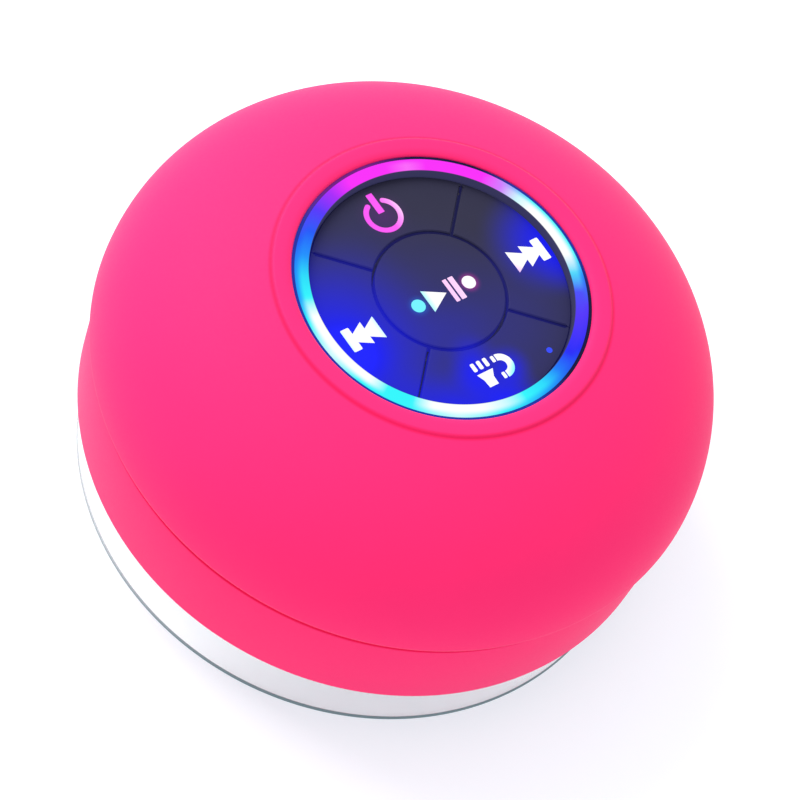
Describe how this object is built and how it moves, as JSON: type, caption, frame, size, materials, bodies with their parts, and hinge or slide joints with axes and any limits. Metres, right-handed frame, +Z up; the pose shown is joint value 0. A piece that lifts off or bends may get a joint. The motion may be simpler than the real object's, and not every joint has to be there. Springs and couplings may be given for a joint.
{
  "type": "shower speaker",
  "caption": "Round waterproof speaker with a soft silicone dome, a lit ring of playback keys on top and a clear suction cup below.",
  "frame": {"origin": "centre of the suction cup's rim, on the surface it sticks to", "axes": "+Z up along the body axis with the body upright, +Y from the axis towards the power key, +X towards the next key"},
  "size_m": [0.086, 0.086, 0.0468],
  "materials": {
    "pink_silicone": "matte silicone",
    "clear_cup": "clear soft PVC",
    "black_shell": "moulded",
    "white_plastic": "polished",
    "key_slate": "satin",
    "icon_lit": "backlit, translucent",
    "light_guide": "backlit, translucent",
    "bezel_dark": "glossy",
    "screw_steel": "zinc plated",
    "seal_rubber": "matte",
    "membrane_rubber": "matte",
    "board_green": "solder mask",
    "chip_black": "moulded epoxy",
    "tin_can": "tinned",
    "led_body": "moulded",
    "battery_foil": "foil pouch",
    "foam_pad": "foam",
    "basket_steel": "powder coat",
    "magnet_ferrite": "sintered",
    "coil_copper": "wound",
    "cone_paper": "pressed",
    "mesh_cloth": "woven",
    "wire_red": "insulated",
    "module_blue": "solder mask"
  },
  "bodies": {
    "cup": {"suction_cup": "clear_cup"},
    "neck": {"cup_neck": "clear_cup", "cup_stud": "clear_cup"},
    "speaker": {"socket_ring": "white_plastic", "base_shell": "black_shell", "skirt_cover": "pink_silicone", "base_screws": "screw_steel", "seal_ring": "seal_rubber", "dome_shell": "black_shell", "dome_cover": "pink_silicone", "panel_bezel": "bezel_dark", "light_ring": "light_guide", "keypad_membrane": "membrane_rubber", "main_board": "board_green", "tact_switches": "tin_can", "ring_leds": "led_body", "wireless_module": "module_blue", "board_chips": "chip_black", "microphone": "tin_can", "board_screws": "screw_steel", "battery_cell": "battery_foil", "battery_pad": "foam_pad", "driver_gasket": "foam_pad", "driver_basket": "basket_steel", "driver_magnet": "magnet_ferrite", "voice_coil": "coil_copper", "driver_cone": "cone_paper", "dust_cap": "cone_paper", "driver_surround": "seal_rubber", "driver_screws": "screw_steel", "splash_mesh": "mesh_cloth", "port_board": "board_green", "port_socket": "tin_can", "speaker_wires": "wire_red", "battery_wires": "wire_red", "port_wires": "wire_red"},
    "power_key": {"key_power": "key_slate", "icon_power": "icon_lit"},
    "next_key": {"key_next": "key_slate", "icon_next": "icon_lit"},
    "call_key": {"key_call": "key_slate", "icon_call": "icon_lit", "status_lens": "icon_lit"},
    "previous_key": {"key_previous": "key_slate", "icon_previous": "icon_lit"},
    "play_key": {"key_play": "key_slate", "icon_play": "icon_lit"},
    "flap": {"port_cover": "pink_silicone"}
  },
  "joints": [
    {"name": "neck_lean", "type": "hinge", "parent": "cup", "child": "neck", "pos_m": [0, 0, 0.009], "axis": [0, 1, 0], "range_deg": [-14, 14], "stiffness_Nm_per_rad": 0.4, "deforming": ["cup_neck"]},
    {"name": "body_swivel", "type": "hinge", "parent": "neck", "child": "speaker", "pos_m": [0, 0, 0.0125], "axis": [0, 0, 1], "continuous": true},
    {"name": "power_press", "type": "slide", "parent": "speaker", "child": "power_key", "axis": [0, 0, -1], "range_m": [0, 0.0004], "stiffness_N_per_m": 600},
    {"name": "next_press", "type": "slide", "parent": "speaker", "child": "next_key", "axis": [0, 0, -1], "range_m": [0, 0.0004], "stiffness_N_per_m": 600},
    {"name": "call_press", "type": "slide", "parent": "speaker", "child": "call_key", "axis": [0, 0, -1], "range_m": [0, 0.0004], "stiffness_N_per_m": 600},
    {"name": "previous_press", "type": "slide", "parent": "speaker", "child": "previous_key", "axis": [0, 0, -1], "range_m": [0, 0.0004], "stiffness_N_per_m": 600},
    {"name": "play_press", "type": "slide", "parent": "speaker", "child": "play_key", "axis": [0, 0, -1], "range_m": [0, 0.0004], "stiffness_N_per_m": 600},
    {"name": "flap_open", "type": "hinge", "parent": "speaker", "child": "flap", "pos_m": [0, 0.0421, 0.0146], "axis": [-1, 0, 0], "range_deg": [0, 100], "stiffness_Nm_per_rad": 0.002}
  ]
}
